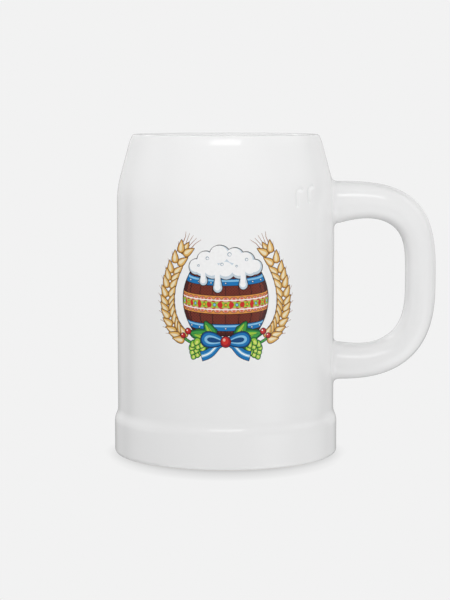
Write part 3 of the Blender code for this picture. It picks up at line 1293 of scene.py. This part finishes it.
def mesh_of(surface, name, materials):
    """A mesh with the surface's own normals, materials and maps."""
    mesh = bpy.data.meshes.new(name)
    mesh.from_pydata(surface.points, [], surface.faces)
    names = list(materials)
    for key in names:
        mesh.materials.append(materials[key])
    mesh.polygons.foreach_set("material_index", [names.index(key) for key in surface.materials])
    mesh.polygons.foreach_set("use_smooth", [True] * len(surface.faces))
    for layer, places in (("OFBake", surface.places), ("PrintMM", surface.inked_at)):
        uv = mesh.uv_layers.new(name=layer)
        uv.data.foreach_set("uv", np.array(places, np.float32).ravel())
    mesh.uv_layers["OFBake"].active = True
    mesh.uv_layers["OFBake"].active_render = True
    mesh.normals_split_custom_set_from_vertices(surface.normals)
    return mesh


def build_surface(sizes):
    """The mug's surface: body, handle, fill mark and print."""
    surface = Surface()
    body = TurnedBody(sizes)
    middle, top, bottom = sizes.print_height, sizes.height - sizes.handle_drop, sizes.handle_rise
    front = (FRONT - PRINT_HALF_ANGLE, FRONT + PRINT_HALF_ANGLE)
    marked = (FRONT + MARK_ANGLES[0], FRONT + MARK_ANGLES[1])
    root = (HANDLE_SIDE - ROOT_HALF_ANGLE, HANDLE_SIDE + ROOT_HALF_ANGLE)
    printed = body.window(*front, middle - PRINT_HALF_HEIGHT, middle + PRINT_HALF_HEIGHT)
    mark = body.window(*marked, *MARK_HEIGHTS)
    upper_root = body.window(*root, top - UPPER_ROOT_INSIDE, top + ROOT_OUTSIDE)
    lower_root = body.window(*root, bottom - ROOT_OUTSIDE, bottom + LOWER_ROOT_INSIDE)
    body.add(surface, [printed, mark, upper_root, lower_root])
    upper, lower = add_handle(surface, sizes, body)
    fill_window(surface, body, upper_root, hole=upper)
    fill_window(surface, body, lower_root, hole=lower)
    add_fill_mark(surface, sizes, body, mark)
    shapes = [(ink, placed(outline, 0.0, middle / MM)) for ink, outline in draw_picture()]
    fill_window(surface, body, printed, shapes=shapes, area=PRINT_MAP)
    return surface


class MUG_OT_glazed_mug(bpy.types.Operator):
    """Makes the mug: body, handle, fill mark and print in one closed surface"""

    bl_idname = "beer_mug.glazed_mug"
    bl_label = "Glazed mug"

    def execute(self, context):
        sizes = context.scene.beer_mug_sizes
        colours = context.scene.beer_mug_colours
        materials = {"glaze": white_glaze(colours), "clay": bare_clay(colours)}
        for name in INKS:
            materials[name] = transfer_ink(name, list(getattr(colours, name)))
        mesh = mesh_of(build_surface(sizes), "glazed_mug", materials)
        mug = bpy.data.objects.new("glazed_mug", mesh)
        context.scene.collection.objects.link(mug)
        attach(mug, "root")
        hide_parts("mug")
        return {"FINISHED"}


# The film's long side, which is upright, in millimetres
FILM = 36.0


def add_camera(scene, studio):
    """The camera at the photograph's viewing angle."""
    data = bpy.data.cameras.new("camera")
    data.lens = studio.lens
    data.sensor_width = FILM
    camera = bpy.data.objects.new("camera", data)
    camera.location = (-studio.camera_side, -studio.distance, studio.camera_height)
    camera.rotation_euler = (math.radians(90) - studio.camera_tilt, 0.0, 0.0)
    scene.collection.objects.link(camera)
    scene.camera = camera


# Half the side of the lit table. The backdrop goes on past it in the same colour.
TABLE_HALF = 1.5
# Radiance of the whole surround, and soft glows on top of it: bearing from the camera's side, to the
# right, and height, in degrees, then how far from there a glow is full and where it ends, and its
# radiance. The low ones stand for the light that comes up off the table.
SURROUND = 0.30
GLOWS = (
    ("low_right", 50, -62, 3, 35, 0.62),
    ("low_left", -50, -62, 3, 35, 1.19),
    ("table_front_right", 50, -32, 3, 35, 1.17),
    ("table_right", 100, -32, 3, 35, 0.49),
    ("left", -100, 12, 3, 30, 0.71),
    ("back_left", -145, 12, 3, 30, 0.60),
    ("back_right", 145, 12, 3, 30, 0.54),
    ("behind", 180, 12, 3, 30, 0.26),
    ("high_right", 100, 38, 3, 35, 0.77),
)
# Lamps that face the mug: place and size in metres, power in watts, and whether the glaze mirrors it.
# The two key lamps are long and narrow, and draw the thin lines of light on the rim, arms and foot.
LAMPS = (
    ("key", (0.0, -1.57, 1.39), (1.15, 0.45), 5.2, True),
    ("key_back", (-0.95, 1.35, 1.25), (0.80, 0.25), 1.0, True),
    ("fill_front", (0.0, -0.42, 0.42), (0.80, 0.30), 1.22, False),
    ("fill_left", (-0.40, -0.25, 0.35), (0.35, 0.35), 0.45, False),
    ("fill_top", (0.0, 0.0, 0.60), (0.50, 0.50), 0.20, False),
    ("fill_back", (0.0, 0.85, 0.30), (0.60, 0.40), 1.9, False),
)


def add_lamp(scene, name, place, size, watts, mirrored_in_glaze):
    """A soft rectangular lamp that faces the mug's middle."""
    data = bpy.data.lights.new(name, "AREA")
    data.shape = "RECTANGLE"
    data.size, data.size_y = size
    data.energy = watts
    lamp = bpy.data.objects.new(name, data)
    lamp.location = place
    to_mug = Vector((0.0, 0.0, HIGH.z / 2)) - Vector(place)
    lamp.rotation_euler = to_mug.to_track_quat("-Z", "Y").to_euler()
    lamp.visible_glossy = mirrored_in_glaze
    scene.collection.objects.link(lamp)


def white_surround(scene, studio):
    """Soft glows all round the mug, and a plain backdrop where the camera sees past it."""
    world = bpy.data.worlds.new("white_studio")
    tree = empty_tree(world)
    way = add_node(tree, "ShaderNodeTexCoord").outputs["Generated"]
    total = None
    for name, side, up, full, end, radiance in GLOWS:
        side, up, full, end = (math.radians(value) for value in (side, up, full, end))
        axis = (math.sin(side) * math.cos(up), -math.cos(side) * math.cos(up), math.sin(up))
        settings = {"label": name, "operation": "DOT_PRODUCT", 1: axis}
        along = add_node(tree, "ShaderNodeVectorMath", settings, {0: way}).outputs["Value"]
        span = {"From Min": math.cos(end), "From Max": math.cos(full), "To Min": 0.0, "To Max": radiance}
        settings = {"interpolation_type": "SMOOTHSTEP", **span}
        glow = add_node(tree, "ShaderNodeMapRange", settings, {"Value": along}).outputs["Result"]
        before = {0: SURROUND} if total is None else {}
        links = {1: glow} if total is None else {0: total, 1: glow}
        total = add_node(tree, "ShaderNodeMath", before, links).outputs[0]
    lit = add_node(tree, "ShaderNodeBackground", {"Color": (1.0, 1.0, 1.0, 1.0)}, {"Strength": total})
    plain = add_node(tree, "ShaderNodeBackground", {"Color": list(studio.backdrop), "Strength": 1.0})
    seen = add_node(tree, "ShaderNodeLightPath").outputs["Is Camera Ray"]
    links = {"Fac": seen, 1: lit.outputs[0], 2: plain.outputs[0]}
    mixed = add_node(tree, "ShaderNodeMixShader", links=links)
    add_node(tree, "ShaderNodeOutputWorld", links={"Surface": mixed.outputs[0]})
    scene.world = world


# The mug's shadow on the table: how far it reaches past the foot towards the camera and to the sides,
# then its crescent, by shares of that reach, and its line of contact, by the openness to the sky
# within a short distance. Each goes from a share of the table's brightness up to all of it.
SHADOW_FRONT = 20 * MM
SHADOW_SIDE = 1.8 * MM
CRESCENT = {"From Min": 0.66, "From Max": 1.0, "To Min": 0.74, "To Max": 1.0}
CONTACT = {"From Min": 0.45, "From Max": 1.0, "To Min": 0.9, "To Max": 1.0}
CONTACT_DISTANCE = 5 * MM


def lit_table(studio):
    """Opal acrylic lit from below, which looks even and as bright as the backdrop. The mug's soft
    shadow is drawn on it: a crescent towards the camera, and a thin line of contact all round."""
    material = bpy.data.materials.new("opal_acrylic_table")
    tree = empty_tree(material)
    place = add_node(tree, "ShaderNodeTexCoord").outputs["Object"]
    across, along = HIGH.y + SHADOW_SIDE, HIGH.y + (SHADOW_FRONT + SHADOW_SIDE) / 2
    middle = (0.0, (HIGH.y + SHADOW_FRONT) / along - 1, 0.0)
    settings = {"Location": middle, "Scale": (1 / across, 1 / along, 0.0)}
    spot = add_node(tree, "ShaderNodeMapping", settings, {"Vector": place}).outputs["Vector"]
    reach = add_node(tree, "ShaderNodeVectorMath", {"operation": "LENGTH"}, {0: spot}).outputs["Value"]
    crescent = add_node(tree, "ShaderNodeMapRange", CRESCENT, {"Value": reach}).outputs["Result"]
    settings = {"Distance": CONTACT_DISTANCE, "samples": 16}
    openness = add_node(tree, "ShaderNodeAmbientOcclusion", settings).outputs["AO"]
    contact = add_node(tree, "ShaderNodeMapRange", CONTACT, {"Value": openness}).outputs["Result"]
    both = add_node(tree, "ShaderNodeMath", {"operation": "MULTIPLY"}, {0: crescent, 1: contact})
    settings = {"Color": list(studio.backdrop)}
    glow = add_node(tree, "ShaderNodeEmission", settings, {"Strength": both.outputs["Value"]})
    add_node(tree, "ShaderNodeOutputMaterial", links={"Surface": glow.outputs[0]})
    return material


class MUG_OT_studio(bpy.types.Operator):
    """Sets up the camera, the table, the surround and the lamps"""

    bl_idname = "beer_mug.studio"
    bl_label = "White studio"

    def execute(self, context):
        scene = context.scene
        studio = scene.beer_mug_studio
        scene.view_settings.view_transform = "Standard"
        add_camera(scene, studio)
        white_surround(scene, studio)
        for lamp in LAMPS:
            add_lamp(scene, *lamp)
        corners = [(x * TABLE_HALF, y * TABLE_HALF, 0) for x, y in ((-1, -1), (1, -1), (1, 1), (-1, 1))]
        mesh = bpy.data.meshes.new("table")
        mesh.from_pydata(corners, [], [(0, 1, 2, 3)])
        mesh.materials.append(lit_table(studio))
        table = bpy.data.objects.new("table", mesh)
        # The glows stand for the light off the table, so its shadow is drawn and it lights nothing
        table.visible_diffuse = False
        table.visible_glossy = False
        table.visible_shadow = False
        scene.collection.objects.link(table)
        return {"FINISHED"}


class MUG_PT_panel(bpy.types.Panel):
    """Lists the operators in the 3D view's sidebar"""

    bl_idname = "MUG_PT_panel"
    bl_label = "Beer mug"
    bl_space_type = "VIEW_3D"
    bl_region_type = "UI"
    bl_category = "Mug"

    def draw(self, context):
        for operator in (MUG_OT_studio, MUG_OT_glazed_mug):
            self.layout.operator(operator.bl_idname)


CLASSES = (MugSizes, MugColours, StudioSettings, MUG_OT_studio, MUG_OT_glazed_mug, MUG_PT_panel)


def register():
    for cls in CLASSES:
        bpy.utils.register_class(cls)
    bpy.types.Scene.beer_mug_sizes = bpy.props.PointerProperty(type=MugSizes)
    bpy.types.Scene.beer_mug_colours = bpy.props.PointerProperty(type=MugColours)
    bpy.types.Scene.beer_mug_studio = bpy.props.PointerProperty(type=StudioSettings)


def unregister():
    del bpy.types.Scene.beer_mug_studio
    del bpy.types.Scene.beer_mug_colours
    del bpy.types.Scene.beer_mug_sizes
    for cls in reversed(CLASSES):
        bpy.utils.unregister_class(cls)


def main():
    """Registers the add-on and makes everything."""
    register()
    bpy.ops.beer_mug.studio()
    bpy.ops.beer_mug.glazed_mug()


if __name__ == "__main__":
    main()
